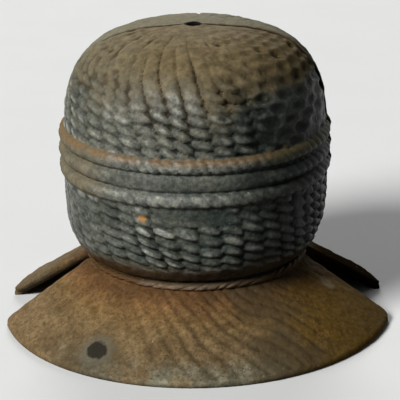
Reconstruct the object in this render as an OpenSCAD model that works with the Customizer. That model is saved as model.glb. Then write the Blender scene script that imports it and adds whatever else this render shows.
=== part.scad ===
// Cast-iron counter string holder in the form of a ball of twine on a flared foot.
// A front and a rear casting part on the plane y = 0 and hinge on two short pins
// at the neck, so that squeezing the two halves of the foot opens the ball.
// Millimetres, +Z up, front towards -Y, origin under the ball on the counter.

/* [Ball] */
// Largest radius of the ball over its strands, without the turns of its band
ball_r = 59.3; // [58:0.1:61]
// Height of the top of the ball above the counter
ball_top_z = 136.3; // [133:0.1:140]
// Height of the widest part of the ball
ball_mid_z = 70; // [68:1:72]
// How far below the widest part the lower curve would close
ball_low = 43.2; // [42.5:0.1:44]
// Squareness of the upper profile at the side: 2 is an ellipse, more is straighter
side_square = 4.1; // [3.6:0.1:4.6]
// Squareness of the upper profile at the top: 2 is an ellipse, more is flatter
top_square = 2.8; // [2.4:0.1:3.2]
// Squareness of the lower profile
low_square = 4.2; // [4:0.1:4.4]
// Thickness of the ball's wall
wall = 4; // [3:0.5:5]
// Diameter of the hole for the string, on the parting line at the top
string_hole_d = 7; // [6:0.5:8]
// Diameter of the eased mouth of that hole
string_mouth_d = 8; // [8:0.5:10]
// Gap between the two castings where they meet
part_gap = 0.4; // [0.3:0.1:0.6]

/* [Twine] */
// Number of twisted strands round the ball
strands = 40; // [36:4:48]
// How far the strands stand out from the ball's core
strand_h = 0.9; // [0.5:0.1:1.1]
// Lean of the strands above the widest part, in degrees round for each millimetre down
upper_lean = 0.3; // [0.2:0.05:0.4]
// Lean of the strands below it
lower_lean = 0.15; // [0.1:0.05:0.25]

/* [Band] */
// Number of rope turns round the waist
band_turns = 3; // [1:1:4]
// Height of the middle of the band
band_z = 81; // [79:0.5:83]
// Radius of one rope turn
turn_r = 3.8; // [3.4:0.1:4.2]
// How far a turn stands out from the ball
turn_proud = 2.4; // [1.6:0.2:3]

/* [Foot] */
// Radius of the neck where the foot leaves the ball
neck_r = 50; // [49.5:0.5:51]
// Height of the neck
neck_z = 28.5; // [28:0.5:29]
// Radius of the rope turn round the neck
neck_turn_r = 2; // [1.6:0.2:2.4]
// Outer radius of the foot
foot_r = 90; // [86:1:94]
// Thickness of the foot
foot_t = 4.5; // [4:0.5:5]
// Half width of the gap between the two feet beside the neck
side_gap_neck = 6; // [5:0.5:7]
// Half width of the same gap at the rim
side_gap_rim = 16.7; // [15:0.1:20]
// Radius of the foot's corners, seen from above
corner_r = 5; // [3:0.5:8]

/* [Hinge] */
// Height of the hinge axis
hinge_z = 35; // [34:0.5:36]
// Angle to which the ball opens
open_max = 50; // [40:1:50]
// Diameter of the hinge pins
pin_d = 5; // [4:0.5:6]
// Radius of the rounded end of a hinge ear
ear_r = 5.5; // [5:0.5:6]
// Thickness of a hinge ear
ear_t = 4.5; // [3.5:0.5:5]
// Distance of the outermost ear face from the middle
ear_out = 41; // [40:0.5:42]

/* [Hidden] */
$fn = 96;

// How far a cutting shape runs past the face it cuts
over = 1;

// Clearances of the hinge, the rise of the wedge's tip above the axis and its angle beyond the swing
run_clear = 0.05;
press_overlap = 0.01;
ear_gap = 0.5;
head_gap = 0.3;
wedge_rise = 1;
open_clear = 1.5;

// Eased mouth of the string hole, and its diameter where the cutting cone ends above the ball
mouth_depth = wall / 8;
mouth_flare = (string_mouth_d - string_hole_d) / mouth_depth;
mouth_end_d = string_mouth_d + mouth_flare * over;

// Heads of the pins and how far they reach beyond the shank
head_over = 1.5;
head_r = pin_d / 2 + head_over;
head_t = 1.8;
peen_over = 0.9;
peen_r = pin_d / 2 + peen_over;
peen_t = 1.2;

// Number of straight steps in the curves of the profile
upper_steps = 18;
lower_steps = 8;
lip_steps = 8;
corner_steps = 6;

// Where the lower curve of the ball ends in the neck, and the top at the string hole, as angles
neck_turn = 52;
top_turn = 89.3;

// Slope and rounded lip of the foot, the lip ground away below so that it stands on a flat ring
lip_r = foot_t / 2;
lip_ground = 0.6;
lip_z = lip_r - lip_ground;
lip_x = foot_r - lip_r;
foot_slope = atan((neck_z - lip_z - lip_r) / (lip_x - neck_r));

// Inside of the neck, which is thicker than the ball's wall, and the middle of its rope turn
neck_extra = 2;
neck_in_r = neck_r - wall - neck_extra;
turn_sunk = 0.2;
turn_raised = 0.9;
neck_turn_c = [neck_r - turn_sunk * neck_turn_r, neck_z + turn_raised * neck_turn_r];

// Places of the rear ears along the hinge axis, and the arms of all ears, slimmer than their ends
rear_ear_out = ear_out - ear_t - ear_gap;
rear_ear_in = rear_ear_out - ear_t;
arm_slim = 1;
ear_arm_h = 2 * ear_r - arm_slim;

// Steps of the ball's curves at which the strands have sunk into the smooth top and above the neck,
// and how many steps they take to grow from the top to their full height
strand_top = 15;
strand_foot = lower_steps - 1;
strand_growth = 5;

// Heights as shares of a strand's height: in the gaps, and where the strands have sunk
gap_rise = 0.1;
strand_sunk = -1;

// Radii between which every second gap grows to its full depth
second_gap_from = 34;
second_gap_to = 55;

// Rope turns of the band, spread evenly about its middle
turn_step = 2 * turn_r;
turn_centre_r = ball_r + turn_proud - turn_r;

// Side edges of the foot, seen from above, and their rounded corners
side_angle = atan((side_gap_rim - side_gap_neck) / (foot_r - neck_r));
corner_angle = side_angle + asin((corner_r - neck_r * sin(side_angle)
    + side_gap_neck * cos(side_angle)) / (foot_r - corner_r));
corner_c = (foot_r - corner_r) * [cos(corner_angle), sin(corner_angle)];

reach = 2 * foot_r;

// A point of the ball's profile above and below its widest part, drawn in by a thickness,
// and at its sides also by a depth
function upper_point(i, in, depth) =
    let (a = top_turn * i / upper_steps)
    [
        (ball_r - in - depth) * pow(cos(a), 2 / top_square),
        ball_mid_z + (ball_top_z - ball_mid_z - in) * pow(sin(a), 2 / side_square)
    ];
function lower_point(i, in, depth) =
    let (a = neck_turn * i / lower_steps)
    [
        (ball_r - in - depth) * pow(cos(a), 2 / low_square),
        ball_mid_z - (ball_low - in) * pow(sin(a), 2 / low_square)
    ];

// The curve of the ball from the string hole down to the neck, drawn in by a thickness and a depth
function ball_curve(in, depth) = concat(
    [for (i = [upper_steps : -1 : 1]) upper_point(i, in, depth)],
    [for (i = [0 : lower_steps]) lower_point(i, in, depth)]
);

// Length along a list of points, from its start to one of them
function run(points, i) = i == 0 ? 0 : run(points, i - 1) + norm(points[i] - points[i - 1]);

// How far a value has come from one limit to another, from 0 to 1
function share(from, to, value) = max(0, min(1, (value - from) / (to - from)));

// Heights in one row of the strands: a gap, a crest, a second gap and a crest, then again
function upper_heights(i) =
    let (crest = share(strand_top, strand_top - strand_growth, i))
    let (second = share(second_gap_from, second_gap_to, upper_point(i, 0, 0)[0]))
    i == strand_top ? [strand_sunk] : [gap_rise, crest, crest + (gap_rise - crest) * second, crest];
function lower_heights(i) = i == strand_foot ? [strand_sunk] : [gap_rise, 1];

// The rounded lip of the foot, from its top side round to its underside
function lip_curve() = [
    for (i = [0 : lip_steps])
        let (a = 90 - foot_slope - 180 * i / lip_steps)
        [lip_x + lip_r * cos(a), max(0, lip_z + lip_r * sin(a))]
];

function reversed(list) = [for (i = [len(list) - 1 : -1 : 0]) list[i]];

// Half of the section through the middle: ball, neck, foot and the hollow inside
module section() {
    under_drop = (lip_x - neck_in_r) * tan(foot_slope);
    under_z = lip_z - lip_r / cos(foot_slope) + under_drop;
    polygon(concat(
        ball_curve(0, strand_h),
        [[neck_r, neck_z]],
        lip_curve(),
        [[neck_in_r, under_z]],
        reversed(ball_curve(wall, 0))
    ));
    for (i = [0 : band_turns - 1])
        translate([turn_centre_r, band_z + (i - (band_turns - 1) / 2) * turn_step])
            circle(turn_r);
    translate(neck_turn_c)
        circle(neck_turn_r);
}

// The space inside the middle of the wall, which trims the inner end of an ear and the strands
module wall_middle() {
    rotate_extrude()
        polygon(concat(
            [[0, ball_top_z - wall], [0, 0]],
            [[neck_in_r + wall / 2, 0]],
            reversed(ball_curve(wall / 2, 0))
        ));
}

// Strands that lie on the core, by rows from the bottom up: a point of the profile over the crests,
// the heights round the row and the angle by which the row is turned
module strand_skin(rows) {
    columns = 2 * strands;
    top = len(rows) - 1;
    corners = [
        for (row = rows, c = [0 : columns - 1])
            let (height = row[1][c % len(row[1])])
            let (r = row[0][0] * (1 - strand_h * (1 - height) / ball_r))
            let (turn = row[2] + 360 * c / columns)
            [r * cos(turn), r * sin(turn), row[0][1]]
    ];
    sides = [
        for (k = [0 : top - 1], c = [0 : columns - 1])
            let (here = k * columns, next = (c + 1) % columns, above = here + columns)
            each [[here + c, above + c, above + next], [here + c, above + next, here + next]]
    ];
    ends = [
        [for (c = [0 : columns - 1]) c],
        [for (c = [columns - 1 : -1 : 0]) top * columns + c]
    ];
    polyhedron(corners, concat(sides, ends));
}

// The strands above and below the band, leaning one way or the other
module strand_skins(way) {
    upper = [for (i = [0 : strand_top]) upper_point(i, 0, 0)];
    strand_skin([
        for (i = [1 : strand_top])
            [upper[i], upper_heights(i), -way * upper_lean * run(upper, i)]
    ]);
    start_z = max(ball_mid_z + over, band_z - (band_turns - 1) * turn_r);
    lower = concat([[ball_r, start_z]], [for (i = [0 : strand_foot]) lower_point(i, 0, 0)]);
    strand_skin([
        for (i = [strand_foot + 1 : -1 : 0])
            [lower[i], lower_heights(i - 1), way * lower_lean * (run(lower, i) + ball_mid_z - start_z)]
    ]);
}

// The wedge below the hinge axis that lets the feet swing together
module hinge_wedge() {
    tip_z = hinge_z + wedge_rise;
    half_w = (tip_z + over) * tan(open_max / 2 + open_clear);
    translate([-reach / 2, 0, 0])
        rotate([90, 0, 90])
            linear_extrude(reach)
                polygon([[0, tip_z], [-half_w, -over], [half_w, -over]]);
}

// What is cut from the foot on the right: the gap at the side, with its rounded corner
module side_cut() {
    inside = 2 * wall;
    start_x = neck_r - inside;
    start_y = side_gap_neck - inside * tan(side_angle);
    outside = 2 * corner_r;
    arc = [
        for (i = [0 : corner_steps])
            let (a = -90 + side_angle + (90 - side_angle + corner_angle) * i / corner_steps)
            corner_c + corner_r * [cos(a), sin(a)]
    ];
    translate([0, 0, -over])
        linear_extrude(neck_turn_c[1] + neck_turn_r + over)
            polygon(concat(
                [[start_x, -over], [start_x, start_y]],
                arc,
                [corner_c + outside * [cos(corner_angle), sin(corner_angle)]],
                [[foot_r + outside, -over]]
            ));
}

// A hinge ear for the right side, from the pin out to the wall on the +Y side
module ear(inner_x) {
    translate([inner_x, 0, hinge_z])
        rotate([90, 0, 90])
            linear_extrude(ear_t) {
                circle(ear_r);
                translate([0, -ear_arm_h / 2])
                    square([ball_r, ear_arm_h]);
            }
}

module both_sides() {
    children();
    mirror([1, 0, 0])
        children();
}

// One casting, lying on the +Y side, with its ears at the given place and bores of the given radius,
// and the way its strands lean
module half(ear_x, bore_r, way) {
    difference() {
        union() {
            difference() {
                union() {
                    rotate_extrude(angle = 180)
                        section();
                    difference() {
                        strand_skins(way);
                        wall_middle();
                    }
                }
                translate([-reach / 2, -reach, -over])
                    cube([reach, reach + part_gap / 2, ball_top_z + reach]);
                hinge_wedge();
                both_sides()
                    side_cut();
            }
            both_sides()
                intersection() {
                    ear(ear_x);
                    wall_middle();
                }
        }
        translate([0, 0, ball_mid_z])
            cylinder(h = reach, d = string_hole_d);
        translate([0, 0, ball_top_z - mouth_depth])
            cylinder(h = mouth_depth + over, d1 = string_hole_d, d2 = mouth_end_d);
        both_sides()
            translate([ear_x - over, 0, hinge_z])
                rotate([0, 90, 0])
                    cylinder(h = ear_t + 2 * over, r = bore_r);
    }
}

module front_half() {
    color([0.33, 0.31, 0.26])
        mirror([0, 1, 0])
            half(ear_out - ear_t, pin_d / 2 - press_overlap, -1);
}

module rear_half() {
    color([0.30, 0.29, 0.26])
        half(rear_ear_in, pin_d / 2 + run_clear, 1);
}

// The pin of the right-hand hinge, with a head inside and a peened end outside
module pin() {
    head_x = rear_ear_in - head_gap - head_t;
    translate([head_x, 0, hinge_z])
        rotate([0, 90, 0]) {
            cylinder(h = head_t, r = head_r);
            cylinder(h = ear_out + peen_t - head_x, d = pin_d);
            translate([0, 0, ear_out - head_x])
                cylinder(h = peen_t, r = peen_r);
        }
}

module hinge_pin_left() {
    color([0.38, 0.35, 0.31])
        mirror([1, 0, 0])
            pin();
}

module hinge_pin_right() {
    color([0.38, 0.35, 0.31])
        pin();
}

front_half();
rear_half();
hinge_pin_left();
hinge_pin_right();
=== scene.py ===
# Looks of a cast-iron counter string holder: a ball of twine on a flared foot, in two hinged halves.
import math
from collections import namedtuple
from functools import partial, reduce

import bmesh
import bpy
import numpy as np
from mathutils import Matrix, Vector
from mathutils.geometry import tessellate_polygon


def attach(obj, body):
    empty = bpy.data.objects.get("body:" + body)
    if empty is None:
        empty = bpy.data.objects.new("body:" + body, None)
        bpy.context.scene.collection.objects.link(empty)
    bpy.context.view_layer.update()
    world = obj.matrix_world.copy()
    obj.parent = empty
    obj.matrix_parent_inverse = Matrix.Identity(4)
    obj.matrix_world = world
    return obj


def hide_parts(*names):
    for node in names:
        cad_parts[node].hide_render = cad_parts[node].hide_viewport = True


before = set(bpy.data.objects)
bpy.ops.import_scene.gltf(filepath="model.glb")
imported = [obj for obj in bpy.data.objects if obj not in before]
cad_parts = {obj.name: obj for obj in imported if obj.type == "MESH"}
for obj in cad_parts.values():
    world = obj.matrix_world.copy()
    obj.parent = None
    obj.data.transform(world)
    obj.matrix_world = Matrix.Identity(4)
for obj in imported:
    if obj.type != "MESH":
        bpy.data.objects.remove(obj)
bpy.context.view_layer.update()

# Sizes of the castings, in millimetres
MM = 0.001
BALL_R = 59.3
BALL_TOP = 136.3
BALL_MID = 70
BALL_LOW = 43.2
SIDE_SQUARE = 4.1
TOP_SQUARE = 2.8
LOW_SQUARE = 4.2
NECK_TURN = math.radians(52)
WALL = 4
HOLE_R = 3.3
MOUTH_R = 3.5
MOUTH_DEPTH = 0.4
PART_GAP = 0.004
BAND_TURNS = 3
BAND_Z = 81
TURN_R = 3.8
TURN_PROUD = 2.4
NECK_R = 50
NECK_Z = 28.5
NECK_IN_R = 44
RING_R = 2
RING_C = np.array([49.6, 30.3])
FOOT_R = 90
FOOT_T = 4.5
LIP_GROUND = 0.6
SIDE_GAP_NECK = 6
SIDE_GAP_RIM = 16.7
CORNER_R = 5
HINGE_Z = 35
WEDGE_TIP = 36
WEDGE_ANGLE = math.radians(26.5)
PIN_R = 2.5
RUN_CLEAR = 0.05
EAR_R = 5.5
EAR_T = 4.5
EAR_ARM = 5
FRONT_EAR_X = 36.5
REAR_EAR_X = 31.5

# Derived sizes
LIP_R = FOOT_T / 2
LIP_C = np.array([FOOT_R - LIP_R, LIP_R - LIP_GROUND])
FOOT_SLOPE = math.atan((NECK_Z - LIP_C[1] - LIP_R) / (LIP_C[0] - NECK_R))
BAND_HALF = BAND_TURNS * TURN_R
BAND_LOW = BAND_Z - BAND_HALF
BAND_HIGH = BAND_Z + BAND_HALF
RING_TOP = RING_C[1] + RING_R
SIDE_GAP_ENDS = (RING_TOP + 1, RING_TOP - 0.5)
SIDE_ANGLE = math.atan((SIDE_GAP_RIM - SIDE_GAP_NECK) / (FOOT_R - NECK_R))
SIDE_OFFSET = SIDE_GAP_NECK * math.cos(SIDE_ANGLE) - NECK_R * math.sin(SIDE_ANGLE)
CORNER_AT = FOOT_R - CORNER_R
CORNER_ANGLE = SIDE_ANGLE + math.asin((CORNER_R + SIDE_OFFSET) / CORNER_AT)
CORNER_FROM = math.sqrt(CORNER_AT ** 2 - (CORNER_R + SIDE_OFFSET) ** 2 + SIDE_OFFSET ** 2)

# Small helpers for number arrays
SCATTER_STEPS = (12.9898, 78.233, 37.719)
SCATTER_GAIN = 43758.5453
SCATTER_LEVEL = 57


def smooth(low, high, value):
    """0 up to low, 1 from high on and a smooth step between; low above high turns it round."""
    t = np.clip((value - low) / (high - low), 0, 1)
    return t * t * (3 - 2 * t)


def window(edges, value):
    """Rises from 0 to 1 between the first two edges and falls back between the last two."""
    rise, top, fall, end = edges
    return smooth(rise, top, value) * smooth(end, fall, value)


def blend(first, second, share):
    """The first value where share is 0 and the second where it is 1."""
    return first * (1 - share) + second * share


def cells(at):
    """The number of the cell that each place is in, and the place within it, from -0.5 to 0.5."""
    cell = np.floor(at)
    return cell, at - cell - 0.5


def scatter(i, j, seed):
    """A fixed pseudo-random number from 0 to 1 for each pair of whole numbers."""
    wave = np.sin(i * SCATTER_STEPS[0] + j * SCATTER_STEPS[1] + seed * SCATTER_STEPS[2]) * SCATTER_GAIN
    return wave - np.floor(wave)


def varied(limits, i, j, seed):
    """A fixed pseudo-random number between two limits for each pair of whole numbers."""
    return blend(limits[0], limits[1], scatter(i, j, seed))


def value_noise(points, cell, seed):
    """Smooth noise from -1 to 1 with features of about one cell, at points given in millimetres."""
    scaled = points / cell
    base = np.floor(scaled)
    share = smooth(0, 1, scaled - base)
    total = np.zeros(len(points))
    for step in np.ndindex(2, 2, 2):
        corner = base + step
        value = scatter(corner[:, 0] + SCATTER_LEVEL * corner[:, 2], corner[:, 1], seed)
        total += value * np.where(step, share, 1 - share).prod(axis=1)
    return 2 * total - 1


def run_length(points):
    """How far along a line each of its points is."""
    return np.concatenate([[0], np.cumsum(np.hypot(*np.diff(points, axis=0).T))])


# Section of a casting: radius and height, from the string hole down the outside and back up the inside
CURVE_POINTS = 3000
MOUTH_POINTS = 60
RING_POINTS = 200
LIP_POINTS = 400

# Distance between the points of each stretch, in millimetres
HOLE_STEP = 0.5
UPPER_STEP = 0.68
BAND_STEP = 0.46
LOWER_STEP = 0.62
RING_STEP = 0.36
FOOT_STEP = 0.82
LIP_STEP = 0.45
UNDER_STEP = 3.5
INSIDE_STEP = 4


def ball_upper(inset):
    """The ball from its top down to its widest part."""
    a = np.linspace(math.pi / 2, 0, CURVE_POINTS)
    r = (BALL_R - inset) * np.cos(a).clip(0) ** (2 / TOP_SQUARE)
    z = BALL_MID + (BALL_TOP - BALL_MID - inset) * np.sin(a).clip(0) ** (2 / SIDE_SQUARE)
    return np.stack([r, z], 1)


def ball_lower(inset):
    """The ball from its widest part down to the neck."""
    a = np.linspace(0, NECK_TURN, CURVE_POINTS)
    r = (BALL_R - inset) * np.cos(a) ** (2 / LOW_SQUARE)
    z = BALL_MID - (BALL_LOW - inset) * np.sin(a) ** (2 / LOW_SQUARE)
    return np.stack([r, z], 1)


def resampled(points, step):
    """The same line with points about one step apart."""
    run = run_length(points)
    at = np.linspace(0, run[-1], max(2, int(round(run[-1] / step)) + 1))
    return np.stack([np.interp(at, run, points[:, 0]), np.interp(at, run, points[:, 1])], 1)


def hole_wall():
    """The wall of the string hole and its eased mouth."""
    b = np.linspace(0, math.pi / 2, MOUTH_POINTS)
    upper = ball_upper(0)
    mouth_z = np.interp(MOUTH_R, upper[:, 0], upper[:, 1])
    flare = np.stack([MOUTH_R - (MOUTH_R - HOLE_R) * np.cos(b), mouth_z - MOUTH_DEPTH * (1 - np.sin(b))], 1)
    return np.vstack([[HOLE_R, BALL_TOP - WALL], flare])


def ring_arc(start, end):
    """The outside of the neck ring between two points on it."""
    a0 = math.atan2(*(start - RING_C)[::-1])
    a1 = math.atan2(*(end - RING_C)[::-1])
    a = np.linspace(a0, a1, RING_POINTS)
    return RING_C + RING_R * np.stack([np.cos(a), np.sin(a)], 1)


def lip_arc():
    """The rounded rim of the foot, ground flat where it stands."""
    a = np.linspace(math.pi / 2 - FOOT_SLOPE, -math.pi / 2 - FOOT_SLOPE, LIP_POINTS)
    arc = LIP_C + LIP_R * np.stack([np.cos(a), np.sin(a)], 1)
    arc[:, 1] = arc[:, 1].clip(0)
    return arc


def outside_ring(points):
    """Those of the points that lie outside the neck ring."""
    return points[np.hypot(*(points - RING_C).T) > RING_R]


def section():
    """Points of the casting's closed section, and the kind of stretch that each belongs to."""
    upper = ball_upper(0)
    upper = upper[upper[:, 0] > MOUTH_R]
    lower = outside_ring(ball_lower(0))
    lip = lip_arc()
    foot = outside_ring(np.linspace([NECK_R, NECK_Z], lip[0], CURVE_POINTS))
    ball = np.vstack([upper, lower[1:]])
    high = ball[:, 1] > BAND_HIGH
    low = ball[:, 1] < BAND_LOW
    under_z = LIP_C[1] - LIP_R / math.cos(FOOT_SLOPE) + (LIP_C[0] - NECK_IN_R) * math.tan(FOOT_SLOPE)
    inner = np.vstack([ball_upper(WALL)[:-1], ball_lower(WALL)])[::-1]
    stretches = [
        ("hole", hole_wall(), HOLE_STEP),
        ("ball", ball[high], UPPER_STEP),
        ("ball", ball[~high & ~low], BAND_STEP),
        ("ball", ball[low], LOWER_STEP),
        ("ring", ring_arc(lower[-1], foot[0]), RING_STEP),
        ("foot", foot, FOOT_STEP),
        ("lip", lip, LIP_STEP),
        ("inside", np.array([lip[-1], [NECK_IN_R, under_z], inner[0]]), UNDER_STEP),
        ("inside", inner[inner[:, 0] > HOLE_R], INSIDE_STEP),
    ]
    rows, kinds = [], []
    for kind, points, step in stretches:
        part = resampled(points, step)
        if rows and np.hypot(*(part[0] - rows[-1])) < step / 2:
            part = part[1:]
        rows.extend(part)
        kinds.extend([kind] * len(part))
    return np.array(rows), np.array(kinds)


def row_normals(rows):
    """The outward direction of each row, in radius and height."""
    ahead = np.roll(rows, -1, axis=0) - np.roll(rows, 1, axis=0)
    normal = np.stack([-ahead[:, 1], ahead[:, 0]], 1)
    return normal / np.hypot(*normal.T)[:, None]


def least_angle(r, z):
    """How far round from the parting plane a row begins: parting gap, hinge wedge and side of the foot."""
    wedge = (WEDGE_TIP - z) * math.tan(WEDGE_ANGLE)
    side = SIDE_ANGLE + np.arcsin(SIDE_OFFSET / r.clip(NECK_IN_R))
    reach = (r ** 2 + CORNER_AT ** 2 - CORNER_R ** 2) / (2 * CORNER_AT * r)
    corner = CORNER_ANGLE - np.arccos(reach.clip(-1, 1))
    side = np.where(r > CORNER_FROM, corner, side)
    cut = r * np.sin(side) * smooth(*SIDE_GAP_ENDS, z)
    return np.arcsin(np.maximum(np.maximum(PART_GAP / 2, wedge), cut) / r)


# Relief of the castings. Angles are in radians from the front towards the right, all the way round.
# Heights are in millimetres. Four numbers are a window's edges; two tell where a change begins and ends.
# s is the distance down the section from the ball's widest part, and wander holds slow noises from -1 to 1.
# The hollowness that a relief returns is painted by the material as shade in the hollows.
TURN = 2 * math.pi
STRANDS = 40
STRAND_WANDER = 0.3
LAY_WANDER = 0.4
CREST = 0.5
DEPTH_EVEN = 0.85
DEPTH_UNEVEN = 0.35
RIGHT_NET = (0.08, 0.4, 1.35, 1.6)
LEFT_NET = (-1.6, -1.4, -0.7, -0.42)
FAN = (-0.75, -0.35, -0.08, 0.25)
Wander = namedtuple("Wander", "across along depth")
WANDER_CELLS = Wander(across=19, along=16, depth=9)


def counted(count, angle, s, lean, wander):
    """Counts strands or pits round the ball, along lines that lean."""
    return count * (angle - lean * s) / TURN + STRAND_WANDER * wander.across


def uneven(height, wander):
    """The same pattern, deeper in some places than in others."""
    return 1 - (1 - height) * (DEPTH_EVEN + DEPTH_UNEVEN * wander.depth)


# Beads along twisted strands
LAY_STAGGER = 0.4
GAP_SQUARE = 2.5
TAPER = 0.35
TAPER_ACROSS = (-0.1, 0.5)
PILLOW = 0.55
BEAD_HEIGHT = (1, 0.75)


def beads(q, p, strands, lay_lean, gap, lay_gap, odd_gap, seed, square=GAP_SQUARE):
    """Height of twisted strands, 0 in the deepest gaps and 1 on the crests.

    q counts strands across and p counts lays along. Every second gap between strands is multiplied by
    odd_gap. A larger square makes the gaps narrower."""
    strand, t = cells(q)
    edge = strand + (t > 0)
    strand = strand % strands
    lay, along = cells(p - lay_lean * t + LAY_STAGGER * scatter(strand, 0, seed))
    gap = np.where(edge % 2 == 1, gap * odd_gap, gap)
    slim = 1 + TAPER * smooth(*TAPER_ACROSS, t)
    pillow = 1 - gap * np.abs(2 * t) ** square - lay_gap * slim * (2 * along) ** 2
    return pillow.clip(0) ** PILLOW * varied(BEAD_HEIGHT, strand, lay, seed + 1)


# Nets of oval pits
PITS_ROUND = 32
PIT_PITCH = 5.6
LEFT_PITS_ROUND = 42
LEFT_PIT_PITCH = 6.6
PIT_WANDER = 0.35
PIT_WIDE = 0.42
PIT_TALL = 0.45
PIT_SIZE = (0.8, 1.15)
PIT_SIZE_SEED = 41
PIT_DEPTH = (0.5, 0.9)
PIT_DEPTH_SEED = 43
PIT_WALL = (1.35, 0.1)


def net_of_pits(angle, s, wander, pits, pitch):
    """Height of a surface with oval pits in staggered rows: 1 between the pits and less in them."""
    down = s / pitch + PIT_WANDER * wander.along
    row = np.round(down)
    across = counted(pits, angle, s, UPPER_LEAN, wander) + (row % 2) / 2
    column = np.round(across)
    size = varied(PIT_SIZE, column % pits, row, PIT_SIZE_SEED)
    away = np.hypot((across - column) / PIT_WIDE, (down - row) / PIT_TALL) / size
    return 1 - varied(PIT_DEPTH, column % pits, row, PIT_DEPTH_SEED) * smooth(*PIT_WALL, away)


# Strands above the band: a fan at the front, beads near the band and pits at both sides. Pairs are radii.
UPPER_LEAN = math.radians(0.3)
UPPER_PITCH = 5.0
UPPER_DEPTH = 2.3
UPPER_LAY_LEAN = 0.45
UPPER_SEED = 3
BEADS_GROW = (43, 57)
FAN_BEADS_GROW = (52, 59.2)
ODD_GAPS_GROW = (34, 55)
FAN_ODD_GAPS_GROW = (20, 38)
DOME_GAP = 1
BAND_GAP = 0.6
FAN_BAND_GAP = 0.7
DOME_LAY_GAP = 0.15
BAND_LAY_GAP = 0.95
LAY_GAP_EVEN = 0.95
LAY_GAP_UNEVEN = 0.4
FAN_SQUARE_MORE = 0.9
NET_SHIFT = 0.3
NET_SHIFT_GROWS = (46, 58.5)
NET_FADE = 0.2
NET_FADE_GROWS = (57.5, 59.3)
LEFT_NET_ENDS = (57, 50)
STRANDS_BEGIN = (12, 28)
CREST_GROWS = (24, 50)
DOME_DEPTH = 0.45
FAN_SHALLOWER = 0.2
NET_SHADE_GAIN = 0.1
LEFT_NET_SHADE_GAIN = 0.3
FAN_SHADE_GAIN = 0.12


def upper_relief(angle, s, r, wander):
    """Height and hollowness of the ball above the band."""
    fan = window(FAN, angle)
    near_band = blend(smooth(*BEADS_GROW, r), smooth(*FAN_BEADS_GROW, r), fan)
    lay_gap_even = LAY_GAP_EVEN + LAY_GAP_UNEVEN * wander.depth
    height = beads(
        counted(STRANDS, angle, s, UPPER_LEAN, wander),
        s / UPPER_PITCH + LAY_WANDER * wander.along,
        STRANDS,
        lay_lean=UPPER_LAY_LEAN,
        gap=blend(DOME_GAP, blend(BAND_GAP, FAN_BAND_GAP, fan), near_band),
        lay_gap=blend(DOME_LAY_GAP, BAND_LAY_GAP, near_band) * lay_gap_even,
        odd_gap=blend(smooth(*ODD_GAPS_GROW, r), smooth(*FAN_ODD_GAPS_GROW, r), fan),
        square=GAP_SQUARE + FAN_SQUARE_MORE * fan * (1 - near_band),
        seed=UPPER_SEED)
    netted = window(RIGHT_NET, angle - NET_SHIFT * smooth(*NET_SHIFT_GROWS, r))
    netted = netted * (1 - NET_FADE * smooth(*NET_FADE_GROWS, r))
    height = blend(height, net_of_pits(angle, s, wander, PITS_ROUND, PIT_PITCH), netted)
    faint = window(LEFT_NET, angle) * smooth(*LEFT_NET_ENDS, r)
    height = height * blend(1, net_of_pits(angle, s, wander, LEFT_PITS_ROUND, LEFT_PIT_PITCH), faint)
    grown = smooth(*CREST_GROWS, r)
    sunk = (1 - uneven(height, wander)) * smooth(*STRANDS_BEGIN, r)
    deep = UPPER_DEPTH * blend(DOME_DEPTH, 1, grown) * (1 - FAN_SHALLOWER * fan)
    # Pits and fan grooves count as more hollow, for deeper painted shade in them.
    darker = 1 + NET_SHADE_GAIN * netted + LEFT_NET_SHADE_GAIN * faint + FAN_SHADE_GAIN * fan
    return CREST * grown - deep * sunk, sunk * darker


# Strands below the band, shallower at the left
LOWER_LEAN = math.radians(0.15)
LOWER_PITCH = 4.9
LOWER_DEPTH = 2.3
LOWER_LAY_LEAN = 0.5
LOWER_GAP = 0.6
LOWER_LAY_GAP = 0.95
LOWER_LAY_GAP_UNEVEN = 0.1
LOWER_SEED = 11
NECK_ENDS_Z = (37, 43)
LEFT_SHALLOWER = 0.6
LEFT_SHALLOWER_GROWS = (-0.5, -1.15)


def lower_relief(angle, s, z, wander):
    """Height and hollowness of the ball below the band."""
    height = beads(
        counted(STRANDS, angle, s, LOWER_LEAN, wander),
        s / LOWER_PITCH + LAY_WANDER * wander.along,
        STRANDS,
        lay_lean=LOWER_LAY_LEAN,
        gap=LOWER_GAP,
        lay_gap=LOWER_LAY_GAP + LOWER_LAY_GAP_UNEVEN * wander.depth,
        odd_gap=1,
        seed=LOWER_SEED)
    above_neck = smooth(*NECK_ENDS_Z, z)
    shallower = LEFT_SHALLOWER * smooth(*LEFT_SHALLOWER_GROWS, angle)
    sunk = (1 - uneven(height, wander)) * above_neck * (1 - shallower)
    return CREST * above_neck - LOWER_DEPTH * sunk, sunk


# Rope turns of the band, from the lowest up, and the plain strip on the front of the middle one
BAND_LAYS = (66, 72, 82)
BAND_LAY_LEAN = 0.55
BAND_WANDER = 0.35
BAND_STAGGER = 0.37
BAND_GROOVE = (0.5, 1.4)
BAND_SEED = 5
WORN_RIGHT = 0.45
WORN_LEFT = 0.65
WORN_LEFT_GROWS = (-0.45, -0.8)
BAND_BED = -0.75
BAND_HOLLOW = 0.6
BAND_HOLLOW_FROM = TURN_PROUD - 0.3
STRIP = (-0.72, -0.58, 0.48, 0.62)
STRIP_TURN = 1
STRIP_SHARE = 0.75
STRIP_HEIGHT = 1
STRIP_EASE = 0.7
STRIP_UNEVEN = 0.3
STRIP_LESS_GROOVE = 0.8
STRIP_HALF = 0.85 * TURN_R
STRIP_HOLLOW = 0.3


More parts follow.
